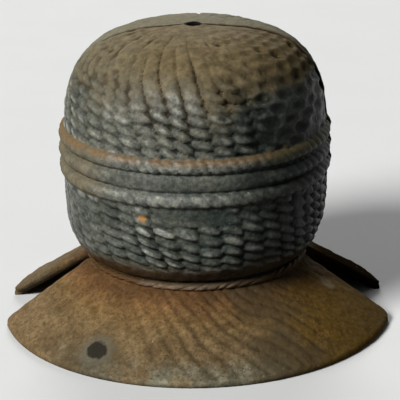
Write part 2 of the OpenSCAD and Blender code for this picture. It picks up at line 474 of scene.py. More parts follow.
def turn_relief(angle, z, index, strip, wander):
    """Height of one rope turn of the band. strip is 1 where its front is a plain flat strip."""
    local = (z - BAND_Z) / TURN_R - 2 * (index - (BAND_TURNS - 1) / 2)
    on_turn = np.abs(local) < 1
    bulge = TURN_R * (np.sqrt((1 - local ** 2).clip(0)) - 1) + TURN_PROUD
    lays = BAND_LAYS[index]
    leaning = lays * angle / TURN + BAND_LAY_LEAN * local
    lay, along = cells(leaning + BAND_WANDER * wander.along + BAND_STAGGER * index)
    worn = 1 - WORN_RIGHT * window(RIGHT_NET, angle) - WORN_LEFT * smooth(*WORN_LEFT_GROWS, angle)
    groove = (2 * along) ** 2 * worn * varied(BAND_GROOVE, lay % lays, index, BAND_SEED)
    rope = np.where(on_turn, bulge, -TURN_R) - groove * (1 - STRIP_LESS_GROOVE * strip)
    flat = STRIP_HEIGHT - STRIP_EASE * local ** 4 + STRIP_UNEVEN * wander.depth
    return blend(rope, np.where(on_turn, flat, -TURN_R), STRIP_SHARE * strip)


def band_relief(angle, z, front, wander):
    """Height of the whole band."""
    none = np.zeros_like(angle)
    turns = []
    for index in range(BAND_TURNS):
        strip = window(STRIP, angle) if front and index == STRIP_TURN else none
        turns.append(turn_relief(angle, z, index, strip, wander))
    return np.max(turns, axis=0)


# Shallow ridges of the foot
FOOT_STRANDS = 56
FOOT_LEAN = 0.93
FOOT_PITCH = 4.2
FOOT_WANDER = 0.6
FOOT_LAY_LEAN = -0.4
FOOT_GAP = 0.95
FOOT_LAY_GAP = 0.25
FOOT_SEED = 23
FOOT_RIDGED = (-0.5, -0.1, 0.5, 1.2)
FOOT_FAINT = 0.35
FOOT_EVEN = 0.8
FOOT_UNEVEN = 0.4
FOOT_LEVEL = 0.7


def foot_relief(angle, s, r, wander):
    """Height and hollowness of the foot, whose ridges wind down it and are strongest at the front."""
    q = FOOT_STRANDS * (angle - FOOT_LEAN * np.log(r / FOOT_R)) / TURN + FOOT_WANDER * wander.across
    height = beads(
        q,
        s / FOOT_PITCH + LAY_WANDER * wander.along,
        FOOT_STRANDS,
        lay_lean=FOOT_LAY_LEAN,
        gap=FOOT_GAP,
        lay_gap=FOOT_LAY_GAP,
        odd_gap=1,
        seed=FOOT_SEED)
    strength = (FOOT_FAINT + window(FOOT_RIDGED, angle)) * (FOOT_EVEN + FOOT_UNEVEN * wander.depth)
    return strength * (height - FOOT_LEVEL), (1 - height) * strength


# Rope ring round the neck
RING_LAYS = 58
RING_LAY_LEAN = 0.25
RING_WANDER = 0.5
RING_GROOVE = (0.1, 1)
RING_GROOVE_DEPTH = 0.7
RING_SEED = 31
RING_SUNK = 0.3
RING_MERGES = (-0.25, -0.75)
RING_MERGED_DEPTH = 0.7
RING_HOLLOW = 0.1
RING_GROOVE_HOLLOW = 0.5


def ring_relief(angle, s, wander):
    """Height and hollowness of the neck ring, which merges with the foot at the left."""
    lay, along = cells(RING_LAYS * angle / TURN + RING_LAY_LEAN * s + RING_WANDER * wander.along)
    groove = (2 * along) ** 2 * varied(RING_GROOVE, lay % RING_LAYS, 0, RING_SEED)
    merged = RING_MERGED_DEPTH * smooth(*RING_MERGES, angle)
    out = -RING_GROOVE_DEPTH * groove - RING_SUNK * (1 + wander.depth) - merged
    return out, RING_HOLLOW + RING_GROOVE_HOLLOW * groove


# Plain patch on the front of the ball, and the calmer sides of the rear casting
PATCH = (-0.34, -0.28, 0.24, 0.3)
PATCH_BEGINS_Z = (61, 62.2)
PATCH_SHARE = 0.85
PATCH_HOLLOW = 0.25
REAR_CALM = 0.75
BESIDE_PARTING = (0.5, 0.12)
LEFT_TO_RIGHT = (-0.6, 0.6)
REAR_LEFT_LOWER = 0.8


def to_right(angle):
    """0 at the far left and 1 at the far right."""
    return smooth(*LEFT_TO_RIGHT, np.sin(angle))


def ball_relief(angle, s, r, z, front, wander):
    """Height and hollowness of the ball with its band."""
    up, up_hollow = upper_relief(angle, s, r, wander)
    down, down_hollow = lower_relief(angle, s, z, wander)
    above = z > BAND_Z
    out = np.where(above, up, down)
    hollow = np.where(above, up_hollow, down_hollow)
    if front:
        patch = window(PATCH, angle) * smooth(*PATCH_BEGINS_Z, z) * (z < BAND_Z)
        out = out * (1 - PATCH_SHARE * patch)
        hollow = hollow * (1 - PATCH_SHARE * patch) + PATCH_HOLLOW * patch
    else:
        upper_level = (CREST - REAR_LEFT_LOWER * (1 - to_right(angle))) * smooth(*CREST_GROWS, r)
        calm = REAR_CALM * smooth(*BESIDE_PARTING, np.abs(np.cos(angle)))
        out = blend(out, np.where(above, upper_level, CREST), calm)

    turns = band_relief(angle, z, front, wander)
    in_band = (z > BAND_LOW) & (z < BAND_HIGH)
    out = np.maximum(np.where(in_band, BAND_BED, out), turns)
    band_hollow = BAND_HOLLOW * ((BAND_HOLLOW_FROM - turns) / TURN_PROUD).clip(0, 1)
    if front:
        on_strip = (window(STRIP, angle) > 0.5) & (np.abs(z - BAND_Z) < STRIP_HALF)
        band_hollow = np.where(on_strip, STRIP_HOLLOW, band_hollow)
    return out, np.where(in_band | (turns > 0), band_hollow, hollow)


def relief(angle, s, r, z, kinds, front, wander):
    """How far each point stands out from the plain solid, and how deep it lies in the pattern."""
    by_kind = {
        "ball": ball_relief(angle, s, r, z, front, wander),
        "ring": ring_relief(angle, s, wander),
        "foot": foot_relief(angle, s, r, wander),
        "hole": (0, 1),
    }
    on_kind = [kinds == kind for kind in by_kind]
    heights, hollows = zip(*by_kind.values())
    return np.select(on_kind, heights, 0), np.select(on_kind, hollows, 0)


# Mesh of one casting. SKIN gives the depth, size and seed of each layer of the rough cast skin.
COLUMNS = 244
EDGE_STEPS = np.array([0, 0.06, 0.24, 0.55, 1.0])
EDGE_FRONT = 2.6
EDGE_REAR = 0.9
EDGE_FOOT = 1.3
EDGE_RING = 1.2
EDGE_FULL_R = 14
EDGE_PLAIN = 0.9
SEAM_SHADE = (0.02, 0.5)
REAR_OVER = 0.7
REAR_OVER_TOP = 0.35
REAR_OVER_LEFT = 0.25
SKIN = ((0.19, 2.1, 1), (0.2, 5, 2))
SKIN_FROM_Z = 1


def column_angles(r, start, edge):
    """Angles of each row's columns, close together at the rounded edges of the casting."""
    near = start[:, None] + (edge / r)[:, None] * EDGE_STEPS
    inner = np.linspace(0, 1, COLUMNS - 2 * len(EDGE_STEPS) + 2)[1:-1]
    first = near[:, -1:]
    middle = first + (math.pi - 2 * first) * inner
    return np.hstack([near, middle, math.pi - near[:, ::-1]])


def edge_depth(edge, r, z, kinds):
    """How far each row is rounded off at the parting, down to nothing at the hole and on the ground."""
    by_kind = {
        "ball": edge * smooth(MOUTH_R, EDGE_FULL_R, r),
        "ring": np.minimum(edge, EDGE_RING),
        "lip": edge * smooth(0, FOOT_T, z),
        "foot": edge,
    }
    return np.select([kinds == kind for kind in by_kind], list(by_kind.values()), 0)


def rounding_by_column():
    """1 on the parting edge, and down to 0 where its rounding ends."""
    from_edge = np.zeros(COLUMNS)
    from_edge[:len(EDGE_STEPS)] = 1 - EDGE_STEPS
    from_edge[-len(EDGE_STEPS):] = (1 - EDGE_STEPS)[::-1]
    return 1 - np.sqrt(1 - from_edge ** 2)


def placed(r, theta, z, side):
    """Points of a casting in space."""
    return np.stack([r * np.cos(theta), side * r * np.sin(theta), z], -1).reshape(-1, 3)


def closed_faces(r, z):
    """Faces between the rows and columns, and the two ends at the parting."""
    index = np.arange(r.size).reshape(r.shape)
    below = np.roll(index, -1, axis=0)
    quads = np.stack([index[:, :-1], below[:, :-1], below[:, 1:], index[:, 1:]], -1)
    faces = quads.reshape(-1, 4).tolist()
    for column in (0, COLUMNS - 1):
        outline = [Vector((a, b, 0)) for a, b in zip(r[:, column], z[:, column])]
        for triangle in tessellate_polygon([outline]):
            faces.append([int(index[i, column]) for i in triangle])
    return faces


def casting_mesh(name, front):
    """One casting without its ears, with how hollow and how upward each point is as attributes."""
    rows, kinds = section()
    normals = row_normals(rows)
    r, z = rows.T
    outside = kinds != "inside"
    low = (z < NECK_Z) & (r > NECK_R)
    edge = np.where(low, EDGE_FOOT, EDGE_FRONT if front else EDGE_REAR)
    theta = column_angles(r, least_angle(r, z), edge)
    angle = math.pi / 2 - theta if front else math.pi / 2 + theta
    side = -1 if front else 1

    shape = theta.shape
    every_r = np.broadcast_to(r[:, None], shape)
    every_z = np.broadcast_to(z[:, None], shape)
    every_kind = np.broadcast_to(kinds[:, None], shape)
    plain = placed(every_r, theta, every_z, side)
    wander = Wander(*(value_noise(plain, cell, cell).reshape(shape) for cell in WANDER_CELLS))
    run = run_length(rows)
    ball_rows = np.flatnonzero(kinds == "ball")
    widest = ball_rows[np.argmin(np.abs(z[ball_rows] - BALL_MID))]
    from_widest = np.broadcast_to((run - run[widest])[:, None], shape)
    out, hollow = relief(angle, from_widest, every_r, every_z, every_kind, front, wander)
    if not front:
        over = blend(REAR_OVER_TOP, 1, normals[:, :1]) * blend(REAR_OVER_LEFT, 1, to_right(angle))
        out = out + REAR_OVER * (every_kind == "ball") * over

    rounding = rounding_by_column()
    skin = sum(depth * value_noise(plain, size, seed) for depth, size, seed in SKIN).reshape(shape)
    out = (out + skin * (z > SKIN_FROM_Z)[:, None]) * (1 - smooth(0, EDGE_PLAIN, rounding))
    out = out - edge_depth(edge, r, z, kinds)[:, None] * rounding
    # The rounded edges at the parting count as hollow, so that the material paints shade along the seam.
    hollow = np.maximum(hollow, (outside & ~low)[:, None] * smooth(*SEAM_SHADE, rounding))

    final_r = every_r + out * normals[:, :1]
    final_z = every_z + out * normals[:, 1:]
    mesh = bpy.data.meshes.new(name)
    points = placed(final_r, theta, final_z, side) * MM
    mesh.from_pydata(points.tolist(), [], closed_faces(final_r, final_z))
    form = bmesh.new()
    form.from_mesh(mesh)
    bmesh.ops.recalc_face_normals(form, faces=form.faces)
    form.to_mesh(mesh)
    form.free()
    sky = np.broadcast_to((normals[:, 1] * outside)[:, None], shape)
    for label, values in (("hollow", hollow), ("sky", sky)):
        attribute = mesh.attributes.new(label, "FLOAT", "POINT")
        attribute.data.foreach_set("value", values.ravel().astype(np.float32))
    return mesh


def add_object(name, data):
    """A new object in the scene, from its mesh, light or camera."""
    added = bpy.data.objects.new(name, data)
    bpy.context.scene.collection.objects.link(added)
    return added


# Hinge ears inside the neck
EAR_POINTS = 33
BORE_POINTS = 64
BORE_SPARE = 1


def wall_middle_r(z):
    """Radius of the middle of the wall at a height below the widest part of the ball."""
    lower = ball_lower(WALL / 2)
    return float(np.interp(z, lower[::-1, 1], lower[::-1, 0]))


def mesh_in_metres(name, form):
    """A mesh from a form in millimetres, which is used up."""
    mesh = bpy.data.meshes.new(name)
    form.to_mesh(mesh)
    form.free()
    mesh.transform(Matrix.Scale(MM, 4))
    return mesh


def ear_mesh(name, x0, side):
    """Right-hand ear from x0 outwards along the hinge axis, with an arm into its casting's wall."""
    bend = math.asin(EAR_ARM / EAR_R)
    turn = np.linspace(bend, 2 * math.pi - bend, EAR_POINTS)
    eye = [(EAR_R * math.cos(a), EAR_R * math.sin(a)) for a in turn]
    form = bmesh.new()
    caps = []
    for x in (x0, x0 + EAR_T):
        arm = [(math.sqrt(wall_middle_r(HINGE_Z + h) ** 2 - x ** 2), h) for h in (-EAR_ARM, EAR_ARM)]
        caps.append([form.verts.new((x, side * y, HINGE_Z + h)) for y, h in arm + eye])
    for cap in caps:
        form.faces.new(cap)
    count = len(caps[0])
    for i in range(count):
        j = (i + 1) % count
        form.faces.new([caps[0][i], caps[0][j], caps[1][j], caps[1][i]])
    bmesh.ops.recalc_face_normals(form, faces=form.faces)
    return mesh_in_metres(name, form)


def bore_mesh(name, radius, x0):
    """A cylinder along the hinge axis that cuts one ear's bore."""
    form = bmesh.new()
    turn = Matrix.Translation((x0 + EAR_T / 2, 0, HINGE_Z)) @ Matrix.Rotation(math.pi / 2, 4, "Y")
    bmesh.ops.create_cone(form, cap_ends=True, segments=BORE_POINTS, radius1=radius, radius2=radius,
                          depth=EAR_T + BORE_SPARE, matrix=turn)
    return mesh_in_metres(name, form)


def mirrored(mesh):
    """The same mesh on the left-hand side."""
    other = mesh.copy()
    other.transform(Matrix.Scale(-1, 4, (1, 0, 0)))
    other.flip_normals()
    return other


def combine(piece, mesh, operation):
    """Joins another mesh to a piece or cuts it out, and keeps the result as the piece's own mesh."""
    tool = add_object("tool", mesh)
    change = piece.modifiers.new("combine", "BOOLEAN")
    change.operation = operation
    change.solver = "MANIFOLD"
    change.object = tool
    evaluated = piece.evaluated_get(bpy.context.evaluated_depsgraph_get())
    result = bpy.data.meshes.new_from_object(evaluated)
    piece.modifiers.remove(change)
    piece.data = result
    bpy.data.objects.remove(tool)


def casting(name, body, front):
    """One casting with its two bored ears, in place of the CAD's half."""
    piece = add_object(name, casting_mesh(name, front))
    side = -1 if front else 1
    ear_x = FRONT_EAR_X if front else REAR_EAR_X
    bore = PIN_R if front else PIN_R + RUN_CLEAR
    right = ear_mesh("ear", ear_x, side)
    cutter = bore_mesh("bore", bore, ear_x)
    for mesh in (right, mirrored(right)):
        combine(piece, mesh, "UNION")
    for mesh in (cutter, mirrored(cutter)):
        combine(piece, mesh, "DIFFERENCE")
    piece.data.name = name
    piece.data.shade_smooth()
    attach(piece, body)
    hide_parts(name.replace("_casting", "_half"))
    return piece


front_casting = casting("front_casting", "front", True)
rear_casting = casting("rear_casting", "rear", False)


# Materials. Places are in millimetres, colours in linear light.
LIFT_DIRECTION = (1, 0.7, 1.3)


class Nodes:
    """Short names for building a material's nodes."""

    def __init__(self, name):
        self.material = bpy.data.materials.new(name)
        self.material.use_nodes = True
        self.tree = self.material.node_tree
        self.shader = self.tree.nodes["Principled BSDF"]
        self.place = self.add("ShaderNodeTexCoord").outputs["Object"]

    def add(self, kind):
        return self.tree.nodes.new(kind)

    def link(self, source, socket):
        """Joins a socket to another one, or sets it to a number or a colour."""
        if isinstance(source, (int, float)):
            socket.default_value = source
        elif isinstance(source, tuple):
            socket.default_value = (*source, 1)
        else:
            self.tree.links.new(source, socket)

    def attribute(self, name):
        node = self.add("ShaderNodeAttribute")
        node.attribute_name = name
        return node.outputs["Fac"]

    def noise(self, size, detail=4, rough=0.55, lift=0.0):
        """Noise from 0 to 1 with features of that size; lift moves it to another part of the noise."""
        node = self.add("ShaderNodeTexNoise")
        move = self.add("ShaderNodeVectorMath")
        move.operation = "ADD"
        self.link(self.place, move.inputs[0])
        move.inputs[1].default_value = [lift * part for part in LIFT_DIRECTION]
        self.link(move.outputs[0], node.inputs["Vector"])
        node.inputs["Scale"].default_value = 1 / (size * MM)
        node.inputs["Detail"].default_value = detail
        node.inputs["Roughness"].default_value = rough
        return node.outputs["Fac"]

    def math(self, operation, a, b=0.0):
        node = self.add("ShaderNodeMath")
        node.operation = operation
        self.link(a, node.inputs[0])
        self.link(b, node.inputs[1])
        return node.outputs[0]

    def times(self, *factors):
        return reduce(partial(self.math, "MULTIPLY"), factors)

    def total(self, *terms):
        return reduce(partial(self.math, "ADD"), terms)

    def grade(self, mask, none, full):
        """A number that goes from none, where the mask is 0, to full, where it is 1."""
        return self.total(self.times(mask, full - none), none)

    def step(self, value, low, high):
        """0 below low and 1 above high, smooth between; low above high turns it round."""
        node = self.add("ShaderNodeMapRange")
        node.interpolation_type = "SMOOTHSTEP"
        self.link(value, node.inputs["Value"])
        first, last = (low, high) if low < high else (high, low)
        node.inputs["From Min"].default_value = first
        node.inputs["From Max"].default_value = last
        node.inputs["To Min"].default_value = 0 if low < high else 1
        node.inputs["To Max"].default_value = 1 if low < high else 0
        return node.outputs["Result"]

    def mix(self, amount, a, b, blend_type="MIX"):
        node = self.add("ShaderNodeMix")
        node.data_type = "RGBA"
        node.blend_type = blend_type
        self.link(amount, node.inputs["Factor"])
        self.link(a, node.inputs["A"])
        self.link(b, node.inputs["B"])
        return node.outputs["Result"]

    def far_from(self, point):
        """Distance from a point."""
        node = self.add("ShaderNodeVectorMath")
        node.operation = "DISTANCE"
        self.link(self.place, node.inputs[0])
        node.inputs[1].default_value = [c * MM for c in point]
        return self.times(node.outputs["Value"], 1 / MM)

    def bump(self, height, depth):
        node = self.add("ShaderNodeBump")
        node.inputs["Distance"].default_value = depth * MM
        self.link(height, node.inputs["Height"])
        self.link(node.outputs["Normal"], self.shader.inputs["Normal"])


# Two places on the castings, and what is added to how far a point faces up to tell how dusty it is
ABOVE_BAND = (88, 97)
ON_BAND_R = (58.8, 59.6)
DUSTY_PATCHES = 0.9
DUSTY_BLOTCHES = 0.8
DUSTY_TOP = 0.3
DUSTY_BAND = 0.9
DUSTY_BARE = -0.8
DUSTY_FRONT = -0.3


class Iron(Nodes):
    """Nodes of the castings, with the measures and masks that place the coats of their surface."""

    def __init__(self):
        super().__init__("worn_cast_iron")
        parts = self.add("ShaderNodeSeparateXYZ")
        self.link(self.place, parts.inputs[0])
        x, y, z = (self.times(axis, 1 / MM) for axis in parts.outputs)
        self.measures = {
            "x": x,
            "y": y,
            "z": z,
            "radius": self.math("SQRT", self.total(self.times(x, x), self.times(y, y))),
            "hollow": self.attribute("hollow"),
            "sky": self.attribute("sky"),
            "broad": self.noise(38, detail=3),
            "clouds": self.noise(17, detail=6, rough=0.6, lift=11.0),
            "patches": self.noise(13, detail=5, lift=2.0),
            "streaks": self.noise(9, lift=9.0),
            "blotches": self.noise(5, detail=5, lift=4.0),
            "fine": self.noise(2.0, detail=6, rough=0.7, lift=21.0),
            "grain": self.noise(1.4, rough=0.65, lift=6.0),
            "specks": self.noise(1.3, detail=2, lift=15.0),
        }
        self.in_front = self.where(y=(1, -1))
        self.band = self.where(z=(69, 70.5, 92, 93))
        self.foot = self.where(z=(32.5, 30), radius=(47.5, 49.5))
        self.upper_front = self.where(z=(102, 110, 113, 132), x=(-36, -20, -2, 12))
        self.shaded = self.where(y=(-20, 5), x=(30, 60))
        # Painted highlight: pale colour on the crests of the beads, strongest at the left where the key
        # light falls, fainter on the band and at the lower left.
        faint_highlight = self.where(x=(-20, -45), z=(70, 66))
        highlight_share = self.times(self.grade(self.band, none=0.8, full=0.65), self.grade(faint_highlight, none=1, full=0.3))
        self.crest_highlight = self.where(highlight_share, hollow=(0.32, 0.04), blotches=(0.3, 0.65), x=(50, -10))
        self.measures["dusty"] = self.total(
            self.measures["sky"],
            self.ragged("patches", DUSTY_PATCHES),
            self.ragged("blotches", DUSTY_BLOTCHES),
            self.times(self.where(z=(96, 132)), DUSTY_TOP),
            self.times(self.where(self.band, x=(-28, -53)), DUSTY_BAND),
            self.times(self.where(self.in_front, x=(5, 40), z=(121, 110)), DUSTY_BARE),
            self.times(self.upper_front, DUSTY_FRONT))

    def ragged(self, noise, size):
        """One of the noises as a number about 0, up to half of size either way."""
        return self.times(self.math("SUBTRACT", self.measures[noise], 0.5), size)

    def where(self, *masks, **ranges):
        """Product of masks, and of a step in each measure that is named.

        A range of two numbers is 0 at the first and 1 at the second. A range of four rises between the
        first two and falls between the last two."""
        factors = list(masks)
        for name, edges in ranges.items():
            factors.append(self.step(self.measures[name], *edges[:2]))
            if len(edges) == 4:
                factors.append(self.step(self.measures[name], edges[3], edges[2]))
        return self.times(*factors)

    def coat(self, under, colour, *masks, share=1.0, **ranges):
        """A colour laid over another by a share, where the masks and ranges say."""
        amount = self.where(*masks, **ranges)
        return self.mix(amount if share == 1 else self.times(amount, share), under, colour)

    def mark(self, under, colour, place, reach, edge=0.0, share=1.0, **ranges):
        """A round mark: none at the first distance of reach, full at the second, and frayed by edge."""
        away = self.total(self.far_from(place), edge)
        return self.coat(under, colour, self.step(away, *reach), share=share, **ranges)


# Paint of the ball
PAINT_BLACK = (0.042, 0.047, 0.038)
PAINT_GREY = (0.086, 0.092, 0.076)
PAINT_WORN = (0.150, 0.150, 0.125)
PAINT_BROWNISH = (0.190, 0.162, 0.122)
PAINT_BLUISH = (0.178, 0.196, 0.186)
PAINT_BLUE_BLACK = (0.020, 0.034, 0.034)
PAINT_SHADE_BLACK = (0.012, 0.016, 0.013)
PAINT_BAND = (0.142, 0.150, 0.134)
PAINT_CREST_HIGHLIGHT = (0.300, 0.305, 0.265)
PAINT_SHADE_SHIFT = 10
PAINT_SHADE_EDGES = (0, 37)


def painted(n):
    """Worn black paint, greyer where it is rubbed, with painted shade near black at the right and painted
    highlights on the crests.
    """
    paint = n.coat(PAINT_BLACK, PAINT_GREY, patches=(0.35, 0.65))
    paint = n.coat(paint, PAINT_WORN, share=0.5, z=ABOVE_BAND, x=(40, -10))
    rubbed = n.coat(PAINT_BROWNISH, PAINT_BLUISH, blotches=(0.38, 0.62))
    paint = n.coat(paint, rubbed, n.upper_front, share=0.5, hollow=(0.6, 0.1))
    paint = n.coat(paint, PAINT_BLUE_BLACK, share=0.55, broad=(0.48, 0.66))
    # Painted shade: the paint goes near black towards the right, away from the key light, more so at the
    # front.
    right = n.step(n.total(n.measures["x"], n.times(n.where(z=ABOVE_BAND), PAINT_SHADE_SHIFT)), *PAINT_SHADE_EDGES)
    paint = n.coat(paint, PAINT_SHADE_BLACK, right, n.grade(n.in_front, none=0.35, full=0.9))
    paint = n.coat(paint, PAINT_BAND, n.band, share=0.38, x=(42, -10))
    # Painted highlights on the crests of the beads.
    return n.coat(paint, PAINT_CREST_HIGHLIGHT, n.crest_highlight)


# Dust on top with painted shade at its right, and painted shade in the hollows
DUST_BROWN = (0.100, 0.073, 0.034)
DUST_TAN = (0.170, 0.130, 0.068)
DUST_SHADE_RIGHT = (0.046, 0.029, 0.007)
DUST_LEFT = (0.160, 0.148, 0.105)
DUST_REAR = (0.165, 0.158, 0.108)
HOLLOW_SHADE_BLACK = (0.008, 0.009, 0.007)
HOLLOW_SHADE_RUST = (0.030, 0.017, 0.008)
MOTTLE_DARK = (0.60, 0.61, 0.63)
MOTTLE_LIGHT = (1.38, 1.36, 1.30)


def dusted(n, colour):
    """Brown dust over another colour with painted shade at its right, painted shade in the hollows, rust
    brown where dusty, and a fine mottle.
    """
    dust = n.coat(DUST_BROWN, DUST_TAN, blotches=(0.3, 0.7))
    # Painted shade: the dust is darker towards the right, away from the key light.
    dust = n.coat(dust, DUST_SHADE_RIGHT, share=0.75, x=(0, 60))
    dust = n.coat(dust, DUST_LEFT, share=0.4, x=(-10, -45))
    dust = n.coat(dust, DUST_REAR, share=0.6, y=(-1, 1))
    colour = n.coat(colour, dust, dusty=(-0.1, 1.25))
    # Painted shade in the hollows: near black, rust brown where dusty, and weaker at the left where the key
    # light falls.
    rusty = n.math("MAXIMUM", n.where(dusty=(0.2, 0.9)), n.where(z=(101, 117), x=(30, 0)))
    deep = n.mix(rusty, HOLLOW_SHADE_BLACK, HOLLOW_SHADE_RUST)
    hollow_shade_share = n.grade(n.where(x=(-10, -45)), none=0.9, full=0.5)
    colour = n.coat(colour, deep, hollow_shade_share, hollow=(0.45, 0.92))
    mottle = n.coat(MOTTLE_DARK, MOTTLE_LIGHT, fine=(0.34, 0.66))
    rubbed = n.grade(n.where(dusty=(0.1, 0.8)), none=1, full=0.4)
    return n.mix(rubbed, colour, mottle, "MULTIPLY")


# Rust of the band, and painted shade in rust brown at the neck
ORANGE_DARK = (0.135, 0.078, 0.030)
ORANGE_LIGHT = (0.225, 0.135, 0.060)
BAND_END = (0.060, 0.052, 0.019)
NECK_SHADE_RIGHT = (0.022, 0.014, 0.007)
NECK_SHADE_LEFT = (0.038, 0.019, 0.004)


def banded(n, colour):
    """Orange rust on the band's upper edge, a browner right end and painted shade, rust brown, in the
    crease above the neck ring.
    """
    orange = n.coat(ORANGE_DARK, ORANGE_LIGHT, grain=(0.35, 0.7))
    colour = n.coat(colour, orange, share=0.7, z=(88.3, 90.6, 92.4, 94), radius=ON_BAND_R, x=(75, 0),
                    streaks=(0.22, 0.52))
    colour = n.coat(colour, BAND_END, share=0.6, z=(85.5, 88, 93.5, 94.5), radius=ON_BAND_R, x=(22, 42))
    # Painted shade under the ball in the crease above the neck ring, darkest at the right.
    crease = n.coat(NECK_SHADE_RIGHT, NECK_SHADE_LEFT, x=(0, -25))
    return n.coat(colour, crease, share=0.93, z=(45, 37), radius=(40, 46))


# Rust of the foot and the neck ring
RUST_BROWN = (0.132, 0.078, 0.028)
RUST_TAN = (0.205, 0.131, 0.055)
RED_DARK = (0.090, 0.040, 0.014)
RED_LIGHT = (0.184, 0.090, 0.034)
OLIVE_DARK = (0.110, 0.104, 0.070)
OLIVE_LIGHT = (0.205, 0.195, 0.137)
RUST_OUTER = (0.150, 0.118, 0.074)
RUST_CLOUDS = (0.070, 0.042, 0.017)
RUST_REAR = (0.060, 0.050, 0.033)
RUST_SHADE_RIGHT = (0.096, 0.051, 0.003)
RUST_SHADE_FAR_RIGHT = (0.050, 0.027, 0.001)
RUST_PITS = (0.040, 0.026, 0.014)
RUST_HOLLOW_SHADE = (0.050, 0.032, 0.015)
RUST_SHADED = (0.010, 0.008, 0.005)
RING_PALE = (0.185, 0.150, 0.112)
RING_RIGHT = (0.030, 0.020, 0.012)
RING_LEFT = (0.050, 0.029, 0.012)
BELOW_RING_SHADE = (0.050, 0.029, 0.013)
BELOW_RING_SHADE_RIGHT = (0.044, 0.023, 0.006)
SAND_DARK = (0.76, 0.74, 0.70)
SAND_LIGHT = (1.34, 1.34, 1.32)


def rusted(n):
    """Mottled rust, red near the ring, olive at the rim and darker behind, with painted shade towards the
    right, in the hollows and under the ball, and a painted shadow on the rear foot's right end.
    """
    rust = n.coat(RUST_BROWN, RUST_TAN, blotches=(0.32, 0.68))
    red = n.coat(RED_DARK, RED_LIGHT, patches=(0.3, 0.7))
    olive = n.coat(OLIVE_DARK, OLIVE_LIGHT, blotches=(0.35, 0.65))
    rust = n.coat(rust, red, radius=(68, 52))
    rust = n.coat(rust, RUST_OUTER, share=0.35, radius=(62, 76))
    rust = n.coat(rust, olive, radius=(77, 88), patches=(0.34, 0.6), x=(-75, -45))
    rust = n.coat(rust, RUST_CLOUDS, share=0.5, clouds=(0.48, 0.66))
    rust = n.coat(rust, RUST_REAR, share=0.55, y=(0, 10), patches=(0.25, 0.6))
    # Painted shade: the rust grows darker and browner towards the right, away from the key light.
    rust = n.coat(rust, RUST_SHADE_RIGHT, share=0.85, x=(15, 60))
    rust = n.coat(rust, RUST_SHADE_FAR_RIGHT, share=0.75, x=(50, 85))
    rust = n.coat(rust, RUST_PITS, share=0.6, grain=(0.46, 0.32))
    # Painted shade in the hollows between the ridges of the foot.
    rust = n.coat(rust, RUST_HOLLOW_SHADE, n.measures["hollow"], share=0.62)
    rust = n.coat(rust, RUST_SHADED, n.shaded, share=0.9)
    rust = n.coat(rust, RING_PALE, share=0.6, z=(28.6, 29.8), hollow=(0.55, 0.15), x=(-34, -18, 20, 36))
    rust = n.coat(rust, RING_RIGHT, share=0.75, z=(28.4, 29.4), x=(18, 34))
    rust = n.coat(rust, RING_LEFT, share=0.65, z=(28.4, 29.4), x=(-18, -34))
    # Painted shade on the foot under the ball beside the ring, deeper towards the right.
    more_shade_right = n.grade(n.where(x=(0, 25)), none=0.45, full=0.85)
    rust = n.coat(rust, BELOW_RING_SHADE, more_shade_right, radius=(58, 52), z=(29.2, 28.4))
    rust = n.coat(rust, BELOW_RING_SHADE_RIGHT, share=0.5, radius=(70, 56), x=(8, 26))
    sand = n.coat(SAND_DARK, SAND_LIGHT, fine=(0.34, 0.66))
    return n.mix(1.0, rust, sand, "MULTIPLY")


# Marks on the foot and the ball
Stain = namedtuple("Stain", "angle radius share")
STAINS = (Stain(26, 82, 0.7), Stain(-34, 86, 0.55), Stain(30, 56, 0.5))
STAIN_BROWN = (0.056, 0.042, 0.022)
BLOT_HALO = (0.125, 0.12, 0.09)
BLOT_BLACK = (0.024, 0.021, 0.015)
SCUFF_PALE = (0.270, 0.210, 0.140)
FLAKE_ORANGE = (0.300, 0.170, 0.062)
SPOT_ORANGE = (0.36, 0.18, 0.05)
HOLE_SHADE = (0.006, 0.005, 0.004)
SPECK_PALE_AND_GLINT = (0.34, 0.31, 0.26)


def on_foot(angle, radius):
    """A point on the foot's upper side, by its angle from the front in degrees and its radius."""
    a = math.radians(angle)
    z = NECK_Z - (radius - NECK_R) * math.tan(FOOT_SLOPE)
    return (radius * math.sin(a), -radius * math.cos(a), z)


def on_ball(angle, z):
    """A point on the straight side of the ball, by its angle from the front in degrees and its height."""
    a = math.radians(angle)
    return (BALL_R * math.sin(a), -BALL_R * math.cos(a), z)


def marked(n, colour):
    """Stains, a dark blot, a scuff and flakes on the foot, an orange spot, painted shade in the string
    hole, and pale specks that are partly painted glints.
    """
    stain_edge = n.ragged("patches", size=40)
    for stain in STAINS:
        place = on_foot(stain.angle, stain.radius)
        colour = n.mark(colour, STAIN_BROWN, place, reach=(24, 8), edge=stain_edge, share=stain.share)
    blot_edge = n.ragged("blotches", size=5)
    blot = on_foot(angle=-33, radius=80.6)
    colour = n.mark(colour, BLOT_HALO, blot, reach=(10, 6), edge=blot_edge, share=0.45)
    colour = n.mark(colour, BLOT_BLACK, blot, reach=(5.4, 4), edge=blot_edge)
    scuff = on_foot(angle=69.5, radius=63.6)
    colour = n.mark(colour, SCUFF_PALE, scuff, reach=(4.5, 2), edge=blot_edge, share=0.45)
    flakes = on_foot(angle=44, radius=78)
    colour = n.mark(colour, FLAKE_ORANGE, flakes, reach=(5, 2), share=0.5, grain=(0.5, 0.7))
    spot = on_ball(angle=-23, z=64.4)
    colour = n.mark(colour, SPOT_ORANGE, spot, reach=(2.1, 1), edge=n.ragged("grain", size=6))
    # Painted shade inside the string hole.
    colour = n.coat(colour, HOLE_SHADE, radius=(4.4, 3.7), z=(120, 122))
    # Pale specks all over, standing for sandy grains and for painted glints.
    return n.coat(colour, SPECK_PALE_AND_GLINT, share=0.8, specks=(0.72, 0.78))


